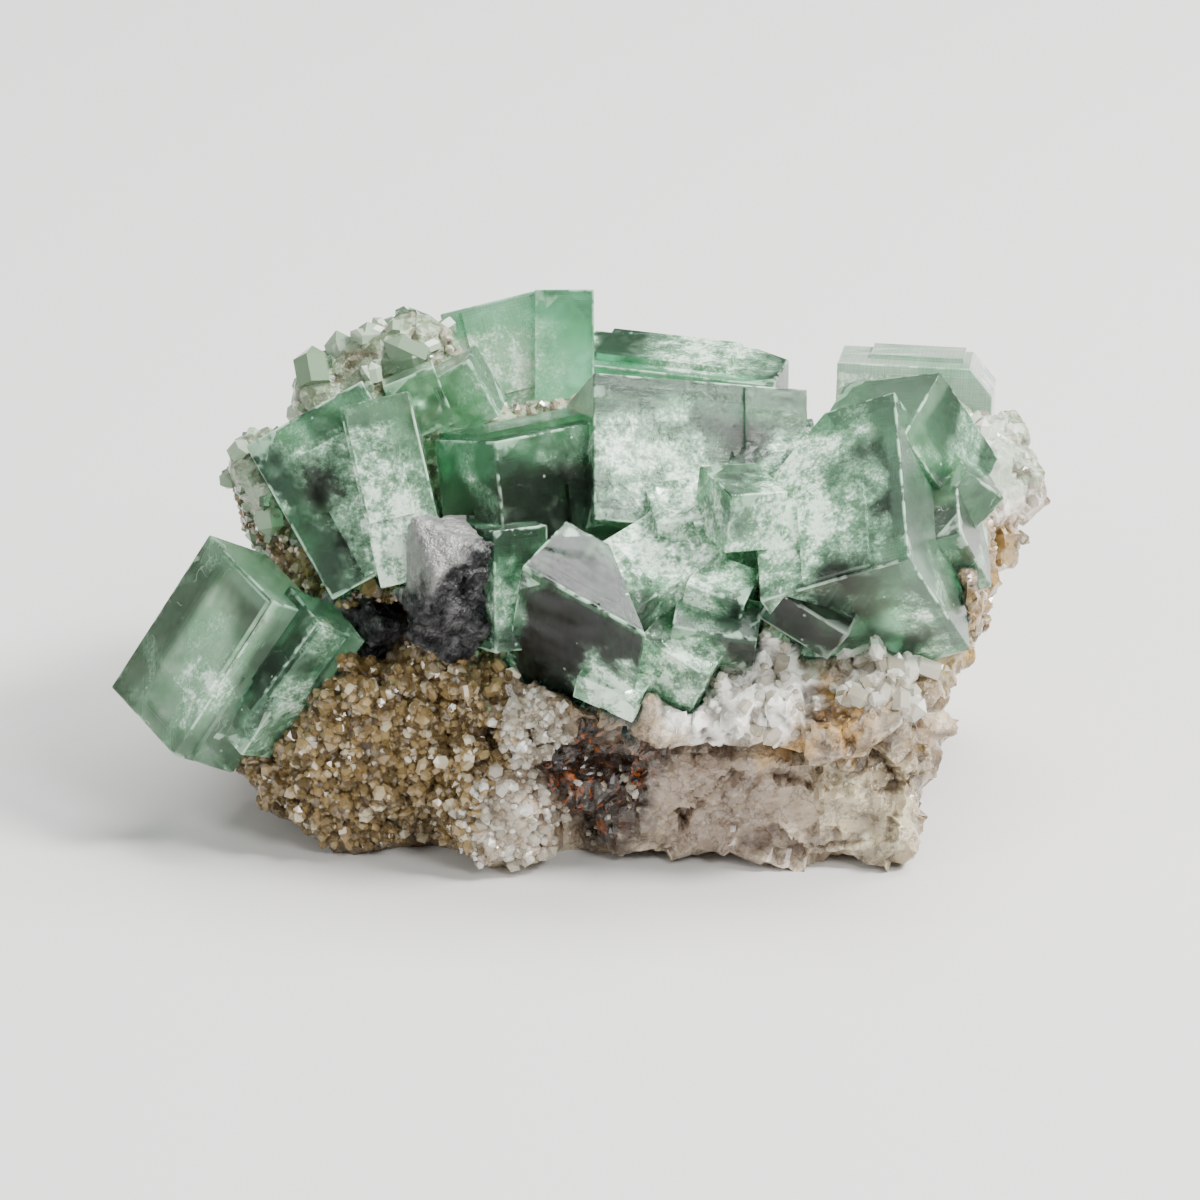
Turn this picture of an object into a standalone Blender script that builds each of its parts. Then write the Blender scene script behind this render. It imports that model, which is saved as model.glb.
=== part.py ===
# A hand-sized cluster of green fluorite cubes on a block of quartz rock, with lumps of lead ore.
# The origin is on the surface the rock rests on, under the middle of the whole object.
# +X is to the right, +Y to the back and +Z up. Sizes in the tables are in millimetres.

from collections import namedtuple
from math import radians
from random import Random

import bmesh
import bpy
from mathutils import Euler, Matrix, Vector
from mathutils.bvhtree import BVHTree

MM = 0.001  # metres in one millimetre
GAP = 0.3  # clear space between two pieces that touch
WORN_EDGE = 0.16  # width of the small flat along a crystal's edge
STEP_SINK = 0.4  # how deep a growth step's plate sits in its crystal
STEP_INSET = 0.24  # least distance from a growth step to the edge of its face
POINT_SINK = 0.35  # part of a quartz point's length that is inside the rock
POINT_BODY = 0.7  # part of a quartz point's length that is its straight shaft
LOWEST_POINT = 1.6  # height above the ground of the lowest quartz point
UNDERGROUND = 40.0  # depth of the block that cuts the rock flat where it rests
VOXEL = 0.85  # grain of the rock's shape before it is thinned out
ROCK_KEEP = 0.15  # share of the rock's faces that is kept

# A crystal: its middle, its three edge lengths and its turns about X, Y and Z in degrees.
# A step is a raised plate on one face: the face's axis and side, its height, and where it lies
# along the other two axes, as shares of the face from its low end to its high end.
# A cut takes off a corner: the way it faces in the crystal's axes, and how far it is from the middle.
Crystal = namedtuple("Crystal", "middle edges turn steps cuts", defaults=((), ()))
Step = namedtuple("Step", "axis side height first second")
Cut = namedtuple("Cut", "facing distance")
# A lump of rock: a box or a ball, its middle, its three widths and its turns in degrees.
Lump = namedtuple("Lump", "form middle widths turn")

LEFT_CUBES = [
    Crystal((-23.3, -7.7, 11.9), (5.5, 8.2, 12.3), (17, 29, 43),
            [Step(0, -1, 0.35, (0.0, 0.72), (0.3, 1.0)), Step(1, -1, 0.3, (0.25, 1.0), (0.0, 0.55))]),
    Crystal((-18.4, -9.6, 12.4), (4.5, 4.2, 7.5), (18, 32, 39),
            [Step(1, -1, 0.3, (0.0, 0.6), (0.2, 1.0))]),
    Crystal((-20.4, -10.4, 8.8), (4.0, 3.5, 4.5), (25, 22, 50)),
]
UPPER_LEFT_CUBES = [
    Crystal((-14.8, -4.9, 22.2), (8.6, 9.0, 11.4), (-25, -27, 12),
            [Step(1, -1, 0.35, (0.3, 1.0), (0.0, 0.8))]),
    Crystal((-11.7, -6.6, 22.9), (4.6, 7.0, 12.0), (-23, -12, 5),
            [Step(1, -1, 0.3, (0.0, 0.7), (0.35, 1.0))]),
    Crystal((-7.6, 0.5, 27.0), (4.0, 4.0, 4.2), (-4, -30, -5)),
    Crystal((-10.4, 0.2, 26.6), (3.6, 4.5, 4.0), (-15, -20, 8)),
]
MAIN_CUBES = [
    Crystal((-0.9, -3.1, 21.6), (16.0, 6.0, 9.0), (-14, 5, 42),
            [Step(2, 1, 0.4, (0.0, 1.0), (0.3, 1.0)), Step(1, -1, 0.3, (0.35, 1.0), (0.0, 0.6))]),
    Crystal((7.2, -1.9, 22.6), (14.5, 7.0, 10.0), (-37, 9, 12),
            [Step(1, -1, 0.35, (0.15, 0.6), (0.45, 1.0)), Step(1, -1, 0.3, (0.7, 1.0), (0.2, 1.0))]),
    Crystal((10.8, -4.8, 19.2), (12.0, 9.0, 10.0), (12, -8, 8),
            [Step(1, -1, 0.4, (0.2, 0.8), (0.3, 1.0))]),
    Crystal((18.3, -8.3, 20.0), (10.2, 13.5, 11.0), (34, -21, -11),
            [Step(2, 1, 0.35, (0.3, 0.75), (0.0, 0.5))], [Cut((-0.7, 0.71, 0.0), 4.6)]),
    Crystal((21.4, -2.2, 23.9), (8.0, 6.0, 8.0), (28, -18, -38)),
    Crystal((10.5, -10.9, 23.4), (4.0, 5.0, 4.0), (3, 5, 24)),
    Crystal((25.0, -5.0, 22.2), (3.5, 3.5, 3.5), (10, 40, 20)),
    Crystal((23.5, -6.5, 19.4), (5.0, 5.0, 6.0), (30, -20, -10)),
    Crystal((1.3, -13.9, 16.0), (9.6, 5.2, 10.2), (18, 19, -28), (),
            [Cut((0.65, 0.76, 0.0), 1.0), Cut((0.72, 0.0, -0.69), 3.3), Cut((-0.56, 0.0, -0.83), 5.9)]),
    Crystal((-4.8, -10.5, 18.0), (4.0, 5.0, 8.0), (-10, 5, 30)),
    Crystal((5.2, -10.6, 18.0), (7.5, 6.0, 6.0), (20, -20, 30)),
    Crystal((6.5, -14.3, 14.2), (5.0, 4.0, 4.0), (15, 25, -20)),
    Crystal((1.5, -15.6, 13.6), (6.0, 3.5, 3.5), (10, 10, -20)),
    Crystal((9.2, -13.0, 18.3), (4.0, 3.5, 3.0), (20, 15, -15)),
    Crystal((8.9, -14.0, 16.2), (5.5, 3.5, 3.0), (25, 8, -5)),
    Crystal((14.6, -11.0, 19.3), (3.5, 3.5, 3.5), (20, 20, 20)),
    Crystal((14.9, -14.2, 17.6), (5.4, 3.0, 3.0), (25, 32, -5),
            [Step(2, 1, 0.2, (0.0, 1.0), (0.4, 1.0))]),
]
BACK_CUBES = [
    Crystal((-0.9, 14.6, 24.4), (4.0, 7.0, 9.0), (-22, 0, 0)),
    Crystal((-4.8, 14.8, 23.6), (7.0, 6.0, 9.0), (-23, -13, 5),
            [Step(1, -1, 0.35, (0.2, 1.0), (0.3, 1.0))]),
    Crystal((7.1, 13.8, 21.8), (14.0, 6.0, 6.0), (3, 1, -16),
            [Step(2, 1, 0.4, (0.1, 0.75), (0.2, 1.0))], [Cut((0.45, 0.89, 0.0), 4.6)]),
]
FAR_RIGHT_CUBES = [
    Crystal((22.9, 13.0, 21.1), (10.5, 7.0, 7.5), (-10, 1, -6),
            [Step(2, 1, 0.3, (0.2, 0.8), (0.3, 1.0))], [Cut((0.75, 0.0, 0.66), 5.2)]),
]
FRONT_ORE_CUBES = [
    Crystal((-8.3, -12.0, 19.5), (4.6, 4.4, 5.6), (12, 10, 30), (), [Cut((-0.6, -0.3, 0.74), 2.7)]),
    Crystal((-7.8, -11.6, 16.4), (4.2, 4.0, 4.6), (30, 35, 10)),
]
LEFT_ORE_CUBES = [
    Crystal((-12.7, -6.6, 13.0), (4.8, 4.4, 4.8), (20, 15, 35)),
    Crystal((-15.0, -6.2, 13.8), (3.2, 3.4, 3.4), (-15, 30, 10)),
]
ROCK_LUMPS = [
    Lump("box", (1.0, 2.0, 3.0), (36.0, 28.0, 10.0), (0, 0, 3)),
    Lump("box", (3.0, 2.0, 10.0), (36.0, 27.0, 15.0), (0, 0, -4)),
    Lump("ball", (-13.0, -4.5, 6.0), (17.0, 19.0, 15.0), (0, -10, 0)),
    Lump("ball", (-13.0, 5.0, 12.0), (16.0, 18.0, 18.0), (0, 0, 0)),
    Lump("box", (12.0, -8.5, 5.6), (20.0, 13.0, 11.2), (-8, 0, -3)),
    Lump("box", (10.0, -12.0, 11.0), (19.0, 10.0, 2.6), (4, 3, -2)),
    Lump("box", (19.5, 1.0, 11.5), (11.0, 22.0, 17.0), (0, 20, -8)),
    Lump("box", (26.0, 6.0, 18.5), (6.0, 8.0, 8.0), (5, 25, 15)),
    Lump("box", (28.0, 6.5, 18.6), (5.0, 3.5, 3.0), (0, 35, 10)),
    Lump("ball", (-20.6, 1.0, 20.0), (5.0, 6.0, 8.0), (0, 0, 0)),
    Lump("ball", (3.0, 8.4, 11.0), (40.0, 21.6, 18.0), (0, 0, 0)),
    Lump("ball", (1.0, 5.0, 17.5), (40.0, 15.0, 13.0), (0, 0, 0)),
    Lump("box", (-7.0, 13.4, 8.0), (14.0, 9.0, 9.0), (25, 0, 12)),
    Lump("box", (11.0, 14.4, 6.5), (13.0, 8.0, 8.0), (-10, 10, -15)),
    Lump("ball", (0.0, -11.5, 8.5), (14.0, 9.0, 10.0), (0, 0, 0)),
    Lump("ball", (-5.0, -13.6, 4.0), (6.4, 6.4, 8.5), (0, 0, 0)),
    Lump("ball", (-15.8, 7.0, 23.6), (6.0, 6.5, 6.5), (0, 0, 20)),
    Lump("ball", (-13.2, 8.0, 25.3), (6.0, 6.5, 6.5), (0, 20, 0)),
    Lump("ball", (-10.9, 9.0, 26.2), (4.6, 6.0, 6.0), (10, 0, 30)),
    Lump("box", (-13.0, 9.0, 20.0), (10.0, 8.0, 9.0), (10, -10, 15)),
]
ROCK_HOLLOWS = [
    Lump("ball", (1.5, -16.5, 6.6), (7.5, 9.0, 8.0), (0, 0, 0)),
    Lump("ball", (6.5, -16.8, 8.0), (5.0, 6.0, 2.6), (0, 0, 0)),
    Lump("box", (10.5, -16.5, 8.9), (9.0, 4.0, 1.2), (0, 5, 0)),
    Lump("ball", (-12.5, -11.0, 14.5), (9.0, 9.0, 7.0), (0, 0, 0)),
    Lump("ball", (-8.0, -8.6, 18.4), (6.0, 6.0, 5.0), (0, 0, 0)),
]
# A bed of quartz points: the middle and widths of the box they lie in, how many, and their width.
Bed = namedtuple("Bed", "middle widths count width")
QUARTZ_BEDS = [
    Bed((-13.0, -11.0, 7.0), (16.0, 8.0, 12.0), 46, 1.3),
    Bed((20.5, -11.0, 13.0), (7.0, 6.0, 12.0), 16, 1.7),
    Bed((12.0, -15.0, 12.5), (16.0, 5.0, 3.0), 12, 1.4),
    Bed((26.0, 2.0, 9.0), (5.0, 18.0, 14.0), 12, 1.5),
]


def clear_scene():
    for thing in list(bpy.data.objects):
        bpy.data.objects.remove(thing, do_unlink=True)


def new_collection(name, hidden=False):
    group = bpy.data.collections.new(name)
    bpy.context.scene.collection.children.link(group)
    group.hide_render = hidden
    return group


def mineral(name, colour, roughness, metallic=0.0, clear=0.0):
    material = bpy.data.materials.new(name)
    material.use_nodes = True
    shader = material.node_tree.nodes["Principled BSDF"]
    shader.inputs["Base Color"].default_value = (*colour, 1.0)
    shader.inputs["Roughness"].default_value = roughness
    shader.inputs["Metallic"].default_value = metallic
    shader.inputs["Transmission Weight"].default_value = clear
    shader.inputs["IOR"].default_value = 1.434
    return material


def place(middle, widths, turn):
    turned = Euler([radians(angle) for angle in turn]).to_matrix().to_4x4()
    return Matrix.Translation(Vector(middle) * MM) @ turned @ Matrix.Diagonal((*(Vector(widths) * MM), 1))


def add_box(mesh, middle, widths, turn):
    bmesh.ops.create_cube(mesh, size=1.0, matrix=place(middle, widths, turn))


def add_crystal_box(mesh, box, worn=0.0):
    """One cube or step, its cut corners taken off and its edges worn; the mesh holds nothing else."""
    add_box(mesh, box.middle, box.edges, box.turn)
    for cut in box.cuts:
        facing = place((0, 0, 0), (1 / MM, 1 / MM, 1 / MM), box.turn) @ Vector(cut.facing)
        point = Vector(box.middle) * MM + facing.normalized() * cut.distance * MM
        every = mesh.verts[:] + mesh.edges[:] + mesh.faces[:]
        made = bmesh.ops.bisect_plane(mesh, geom=every, plane_co=point, plane_no=facing, clear_outer=True)
        rim = [item for item in made["geom_cut"] if isinstance(item, bmesh.types.BMEdge)]
        bmesh.ops.holes_fill(mesh, edges=rim)
    if worn:
        bmesh.ops.bevel(mesh, geom=mesh.edges[:], offset=worn * MM, segments=1, affect="EDGES",
                        clamp_overlap=True)


def add_ball(mesh, middle, widths, turn):
    bmesh.ops.create_icosphere(mesh, subdivisions=3, radius=0.5, matrix=place(middle, widths, turn))


def mesh_object(name, group, draw):
    mesh = bmesh.new()
    draw(mesh)
    data = bpy.data.meshes.new(name)
    mesh.to_mesh(data)
    mesh.free()
    made = bpy.data.objects.new(name, data)
    group.objects.link(made)
    return made


def as_cutter(thing):
    thing.hide_render = True
    thing.display_type = "WIRE"
    return thing


def combine(thing, operation, others):
    step = thing.modifiers.new(operation.title(), "BOOLEAN")
    step.operation = operation
    step.operand_type = "COLLECTION"
    step.collection = others
    step.solver = "EXACT"
    return step


def step_plate(crystal, step):
    """The box of one growth step, which lies along its crystal's axes."""
    across = [axis for axis in range(3) if axis != step.axis]
    middle = Vector((0, 0, 0))
    widths = Vector((0, 0, 0))
    widths[step.axis] = step.height + STEP_SINK
    middle[step.axis] = step.side * (crystal.edges[step.axis] + step.height - STEP_SINK) / 2
    for axis, (low, high) in zip(across, (step.first, step.second)):
        edge = crystal.edges[axis]
        start = max(low * edge, STEP_INSET)
        end = min(high * edge, edge - STEP_INSET)
        widths[axis] = end - start
        middle[axis] = (start + end - edge) / 2
    turned = Euler([radians(angle) for angle in crystal.turn]).to_matrix()
    return Crystal(Vector(crystal.middle) + turned @ middle, widths, crystal.turn)


def widened(box, extra):
    """The same box with every face and cut moved outward by extra."""
    cuts = [Cut(cut.facing, cut.distance + extra) for cut in box.cuts]
    return Crystal(box.middle, [edge + 2 * extra for edge in box.edges], box.turn, (), cuts)


def crystal_piece(name, cubes, material, cut_by=()):
    """Crystals that have grown into one solid, clear of the pieces named in cut_by."""
    boxes = [box for cube in cubes for box in (cube, *(step_plate(cube, step) for step in cube.steps))]
    piece = mesh_object(name, parts, lambda mesh: add_crystal_box(mesh, boxes[0], WORN_EDGE))
    grown = new_collection(name + " growth", hidden=True)
    for number, box in enumerate(boxes[1:], 1):
        as_cutter(mesh_object(f"{name} growth {number}", grown,
                              lambda mesh: add_crystal_box(mesh, box, WORN_EDGE)))
    combine(piece, "UNION", grown)
    for other in cut_by:
        combine(piece, "DIFFERENCE", clearances[other])
    piece.data.materials.append(material)
    clearances[name] = new_collection(name + " clearance", hidden=True)
    for number, box in enumerate(boxes):
        room = as_cutter(mesh_object(f"{name} clearance {number}", clearances[name],
                                     lambda mesh: add_crystal_box(mesh, widened(box, GAP))))
        all_clearances.objects.link(room)
    return piece


def add_lumps(mesh, lumps):
    for lump in lumps:
        add = add_ball if lump.form == "ball" else add_box
        add(mesh, lump.middle, lump.widths, lump.turn)


def remesh(thing, size):
    step = thing.modifiers.new("Remesh", "REMESH")
    step.mode = "VOXEL"
    step.voxel_size = size * MM


def roughen(thing, name, kind, size, height):
    """Push the surface in and out by a noise whose bumps are size wide and height tall."""
    texture = bpy.data.textures.new(name, kind)
    texture.noise_scale = size * MM
    step = thing.modifiers.new(name, "DISPLACE")
    step.texture = texture
    step.texture_coords = "LOCAL"
    step.strength = height * MM
    step.mid_level = 0.5


def evaluated_tree(thing):
    bpy.context.view_layer.update()
    return BVHTree.FromObject(thing, bpy.context.evaluated_depsgraph_get())


def add_quartz_point(mesh, foot, direction, width, length):
    """A six-sided prism with a six-sided tip, its lower part sunk below foot."""
    body = length * POINT_BODY
    middle = Vector(foot) + direction * (body / 2 - length * POINT_SINK)
    stand = Matrix.Translation(middle) @ direction.to_track_quat("Z", "Y").to_matrix().to_4x4()
    shaft = bmesh.ops.create_cone(mesh, cap_ends=True, segments=6, radius1=width / 2, radius2=width / 2,
                                  depth=body, matrix=stand)
    faces = {face for vertex in shaft["verts"] for face in vertex.link_faces}
    top = max(faces, key=lambda face: face.calc_center_median().dot(direction))
    bmesh.ops.poke(mesh, faces=[top], offset=length - body)


def add_quartz_beds(mesh, surface):
    """Scatter points over the beds, each leaning a little off the rock's own direction."""
    chance = Random(7)
    feet = []
    for bed in QUARTZ_BEDS:
        planted = 0
        for _ in range(bed.count * 30):
            spot = [m + w * (chance.random() - 0.5) for m, w in zip(bed.middle, bed.widths)]
            foot, normal, _, _ = surface.find_nearest(Vector(spot) * MM)
            width = bed.width * MM * chance.uniform(0.7, 1.25)
            lean = Vector([chance.uniform(-0.45, 0.45) for _ in range(3)])
            low = foot.z < LOWEST_POINT * MM
            close = any((foot - other).length < (width + used) * 0.75 for other, used in feet)
            if low or close:
                continue
            add_quartz_point(mesh, foot, (normal + lean).normalized(), width, width * chance.uniform(1.4, 1.9))
            feet.append((foot, width))
            planted += 1
            if planted == bed.count:
                break


def rock_piece(material):
    """Quartz rock: lumps run together, hollowed, made rough, planted with points and cut flat below."""
    hollows = new_collection("rock hollows", hidden=True)
    as_cutter(mesh_object("hollow", hollows, lambda mesh: add_lumps(mesh, ROCK_HOLLOWS)))
    for shape in hollows.objects:
        remesh(shape, VOXEL)
    rock = mesh_object("matrix", parts, lambda mesh: add_lumps(mesh, ROCK_LUMPS))
    remesh(rock, VOXEL)
    combine(rock, "DIFFERENCE", hollows)
    remesh(rock, VOXEL)
    roughen(rock, "Broken lumps", "CLOUDS", 7.0, 3.4)
    roughen(rock, "Ledges", "VORONOI", 3.2, 1.3)
    thin = rock.modifiers.new("Thin out", "DECIMATE")
    thin.ratio = ROCK_KEEP
    points = new_collection("quartz points", hidden=True)
    surface = evaluated_tree(rock)
    as_cutter(mesh_object("quartz", points, lambda mesh: add_quartz_beds(mesh, surface)))
    combine(rock, "UNION", points)
    below = (0, 0, -UNDERGROUND / 2)
    as_cutter(mesh_object("ground", all_clearances,
                          lambda mesh: add_box(mesh, below, [UNDERGROUND * 3] * 2 + [UNDERGROUND], (0, 0, 0))))
    combine(rock, "DIFFERENCE", all_clearances)
    rock.data.materials.append(material)
    return rock


clear_scene()
parts = new_collection("fluorite cluster")
all_clearances = new_collection("room in the rock", hidden=True)
clearances = {}
fluorite = mineral("green fluorite", (0.09, 0.30, 0.19), 0.12, clear=0.6)
frosted = mineral("frosted fluorite", (0.42, 0.55, 0.46), 0.4, clear=0.3)
ore = mineral("lead ore", (0.16, 0.16, 0.18), 0.45, metallic=0.7)
quartz_rock = mineral("quartz rock", (0.46, 0.38, 0.28), 0.6)
crystal_piece("fluorite_main", MAIN_CUBES, fluorite)
crystal_piece("fluorite_upper_left", UPPER_LEFT_CUBES, fluorite, ["fluorite_main"])
crystal_piece("fluorite_left", LEFT_CUBES, fluorite)
crystal_piece("fluorite_back", BACK_CUBES, fluorite)
crystal_piece("fluorite_far_right", FAR_RIGHT_CUBES, frosted)
crystal_piece("galena_front", FRONT_ORE_CUBES, ore, ["fluorite_main", "fluorite_upper_left"])
crystal_piece("galena_left", LEFT_ORE_CUBES, ore, ["fluorite_upper_left", "fluorite_left"])
rock_piece(quartz_rock)
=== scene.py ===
import math

import bmesh
import bpy
import numpy as np
from mathutils import Euler, Matrix, Vector


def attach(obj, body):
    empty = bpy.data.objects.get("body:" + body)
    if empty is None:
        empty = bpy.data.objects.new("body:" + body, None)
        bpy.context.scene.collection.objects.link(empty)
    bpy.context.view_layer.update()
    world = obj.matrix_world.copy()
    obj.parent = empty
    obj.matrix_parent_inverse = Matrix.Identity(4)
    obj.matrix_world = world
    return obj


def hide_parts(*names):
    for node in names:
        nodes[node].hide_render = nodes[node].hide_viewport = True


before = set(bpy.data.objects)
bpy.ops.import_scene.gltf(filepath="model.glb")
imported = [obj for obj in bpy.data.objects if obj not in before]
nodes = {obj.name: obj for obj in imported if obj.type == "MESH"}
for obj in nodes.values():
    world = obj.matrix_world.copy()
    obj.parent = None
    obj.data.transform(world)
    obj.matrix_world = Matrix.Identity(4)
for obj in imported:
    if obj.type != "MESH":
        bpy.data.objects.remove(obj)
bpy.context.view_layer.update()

mm = 0.001
parts = bpy.data.collections.new("looks")
bpy.context.scene.collection.children.link(parts)


# small helpers for meshes and numbers

def turnMatrix(degrees):
    # rotation by the three turns, about X first, then Y, then Z
    return np.array(Euler([math.radians(a) for a in degrees]).to_matrix())


def smoothStep(low, high, value):
    # 0 below low, 1 above high, 3t^2 - 2t^3 between, with t the share of the way
    t = np.clip((value - low) / (high - low), 0.0, 1.0)
    return t * t * (3.0 - 2.0 * t)


def hashed(cells, seed):
    # a steady pseudo-random number from 0 to 1 for each whole-number cell
    x, y, z = (cells[..., i].astype(np.int64) for i in range(3))
    n = (x * 73856093) ^ (y * 19349663) ^ (z * 83492791) ^ (seed * 2654435761)
    n = (n ^ (n >> 13)) * 1274126177 & 0x7FFFFFFF
    n = (n ^ (n >> 16)) * 668265263 & 0x7FFFFFFF
    return ((n ^ (n >> 15)) & 0xFFFFF) / 0xFFFFF


def valueNoise(points, size, seed=0):
    # cube corners of width size hold random numbers, blended by t^2 (3 - 2t); from -1 to 1
    p = points / size
    base = np.floor(p)
    t = p - base
    t = t * t * (3.0 - 2.0 * t)
    total = np.zeros(len(points))
    for corner in range(8):
        step = np.array([corner & 1, corner >> 1 & 1, corner >> 2 & 1])
        weight = np.prod(np.where(step, t, 1.0 - t), axis=1)
        total += weight * hashed(base + step, seed)
    return total * 2.0 - 1.0


def layeredNoise(points, size, layers, seed=0):
    # sum of value noises, each half as wide and half as strong as the one before
    return sum(valueNoise(points, size / 2**k, seed + k) / 2**k for k in range(layers))


def chips(points, size, seed=0):
    # each point belongs to its nearest scattered seed, which carries its own tilted plane:
    # height = (p - seed) . tilt, so neighbouring cells meet in creases like broken crystal
    p = points / size
    base = np.floor(p)
    best = np.full(len(p), 9.0)
    height = np.zeros(len(p))
    for i in range(-1, 2):
        for j in range(-1, 2):
            for k in range(-1, 2):
                cell = base + (i, j, k)
                spots = np.stack([hashed(cell, seed + s) for s in (11, 12, 13)], 1)
                tilt = np.stack([hashed(cell, seed + s) for s in (14, 15, 16)], 1) * 2.0 - 1.0
                away = p - cell - spots
                far = np.sum(away * away, axis=1)
                near = far < best
                best = np.where(near, far, best)
                raised = np.sum(away * tilt, axis=1) + 0.4 * (hashed(cell, seed + 17) - 0.5)
                height = np.where(near, raised, height)
    return height


def meshPiece(name, vertices, faces, smooth=False):
    mesh = bpy.data.meshes.new(name)
    mesh.from_pydata(vertices.tolist() if hasattr(vertices, "tolist") else vertices, [],
                     faces.tolist() if hasattr(faces, "tolist") else faces)
    mesh.validate()
    mesh.update()
    if smooth:
        mesh.shade_smooth()
    piece = bpy.data.objects.new(name, mesh)
    parts.objects.link(piece)
    return piece


def coordinates(mesh):
    flat = np.empty(len(mesh.vertices) * 3, np.float32)
    mesh.vertices.foreach_get("co", flat)
    return flat.reshape(-1, 3).astype(float)


def normals(mesh):
    flat = np.empty(len(mesh.vertices) * 3, np.float32)
    mesh.vertices.foreach_get("normal", flat)
    return flat.reshape(-1, 3).astype(float)


def moveTo(mesh, points):
    mesh.vertices.foreach_set("co", points.astype(np.float32).ravel())
    mesh.update()


def applied(piece):
    # the piece's modifiers are worked out and its mesh becomes their result
    graph = bpy.context.evaluated_depsgraph_get()
    graph.update()
    mesh = bpy.data.meshes.new_from_object(piece.evaluated_get(graph))
    old = piece.data
    piece.modifiers.clear()
    piece.data = mesh
    mesh.name = old.name
    return piece


# shader maths: sums on sockets add the Math nodes they need

class Value:
    # one shader socket; + - * / and ** between Values and numbers add Math nodes
    def __init__(self, tree, socket):
        self.tree, self.socket = tree, socket

    def maths(self, operation, first, second=0.0, third=0.0, clamp=False):
        return self.tree.value("ShaderNodeMath", {"operation": operation, "use_clamp": clamp},
                               {0: first, 1: second, 2: third})

    def __add__(self, other):
        return self.maths("ADD", self, other)

    def __radd__(self, other):
        return self.maths("ADD", other, self)

    def __sub__(self, other):
        return self.maths("SUBTRACT", self, other)

    def __rsub__(self, other):
        return self.maths("SUBTRACT", other, self)

    def __mul__(self, other):
        return self.maths("MULTIPLY", self, other)

    def __rmul__(self, other):
        return self.maths("MULTIPLY", other, self)

    def __truediv__(self, other):
        return self.maths("DIVIDE", self, other)

    def __rtruediv__(self, other):
        return self.maths("DIVIDE", other, self)

    def __pow__(self, other):
        return self.maths("POWER", self, other)

    def clamped(self):
        return self.maths("ADD", self, 0.0, clamp=True)

    def atMost(self, other):
        return self.maths("MINIMUM", self, other)

    def atLeast(self, other):
        return self.maths("MAXIMUM", self, other)

    def size(self):
        return self.maths("ABSOLUTE", self)

    def rise(self, low, high):
        # 0 below low, 1 above high, a smooth step between
        return self.tree.value("ShaderNodeMapRange", {"interpolation_type": "SMOOTHSTEP"},
                               {"Value": self, "From Min": low, "From Max": high}, "Result")


class Tree:
    # one material's nodes
    def __init__(self, name):
        self.material = bpy.data.materials.new(name)
        self.material.use_nodes = True
        self.nodes = self.material.node_tree.nodes
        self.links = self.material.node_tree.links
        self.nodes.clear()
        self.place = self.add("ShaderNodeVectorMath", {"operation": "SCALE"},
                              {0: self.add("ShaderNodeTexCoord").outputs["Object"], "Scale": 1.0 / mm})
        self.millimetres = self.place.outputs[0]

    def add(self, kind, settings=None, inputs=None):
        # a node of this type: its settings first, then the numbers or links of its sockets
        node = self.nodes.new(kind)
        for key, setting in (settings or {}).items():
            if key == "stops":
                while len(node.color_ramp.elements) < len(setting):
                    node.color_ramp.elements.new(0.5)
                for element, (at, colour) in zip(node.color_ramp.elements, setting):
                    element.position, element.color = at, (*colour, 1.0)
            else:
                setattr(node, key, setting)
        for key, item in (inputs or {}).items():
            socket = node.inputs[key]
            if isinstance(item, Value):
                self.links.new(item.socket, socket)
            elif isinstance(item, bpy.types.NodeSocket):
                self.links.new(item, socket)
            elif socket.type == "RGBA":
                socket.default_value = (*item, 1.0)[:4]
            else:
                socket.default_value = item
        return node

    def value(self, kind, settings, inputs, output=0):
        return Value(self, self.add(kind, settings, inputs).outputs[output])

    def noise(self, size, detail=3.0, rough=0.55, warp=0.0, at=None):
        # from 0 to 1, with bumps about size millimetres wide
        return self.value("ShaderNodeTexNoise", {}, {
            "Vector": at or self.millimetres, "Scale": 1.0 / size, "Detail": detail,
            "Roughness": rough, "Distortion": warp})

    def cells(self, size, feature="F1", output="Distance", at=None, random=1.0):
        # distance to the nearest of scattered spots, about size millimetres apart
        return self.value("ShaderNodeTexVoronoi", {"feature": feature},
                          {"Vector": at or self.millimetres, "Scale": 1.0 / size, "Randomness": random}, output)

    def axis(self, name, at=None):
        return self.value("ShaderNodeSeparateXYZ", {}, {0: at or self.millimetres}, name)

    def attribute(self, name, output="Fac"):
        return self.value("ShaderNodeAttribute", {"attribute_name": name}, {}, output)

    def mix(self, factor, first, second, blend="MIX"):
        node = self.add("ShaderNodeMix", {"data_type": "RGBA", "blend_type": blend})
        for slot, item in ((0, factor), (6, first), (7, second)):
            socket = node.inputs[slot]
            if isinstance(item, (Value, bpy.types.NodeSocket)):
                self.links.new(getattr(item, "socket", item), socket)
            else:
                socket.default_value = (*item, 1.0)[:4] if slot else item
        return node.outputs[2]

    def bump(self, height, depth, under=None):
        # depth is how far one unit of height stands out, in millimetres
        inputs = {"Height": height, "Distance": depth * mm, "Strength": 1.0}
        if under is not None:
            inputs["Normal"] = under
        return self.add("ShaderNodeBump", {}, inputs).outputs["Normal"]

    def principled(self, **sockets):
        named = {key.replace("_", " "): item for key, item in sockets.items()}
        return self.add("ShaderNodeBsdfPrincipled", {}, named).outputs[0]

    def finish(self, shader, volume=None):
        out = self.add("ShaderNodeOutputMaterial")
        self.links.new(shader, out.inputs["Surface"])
        if volume is not None:
            self.links.new(volume, out.inputs["Volume"])
        return self.material


# the fluorite crystals

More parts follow.
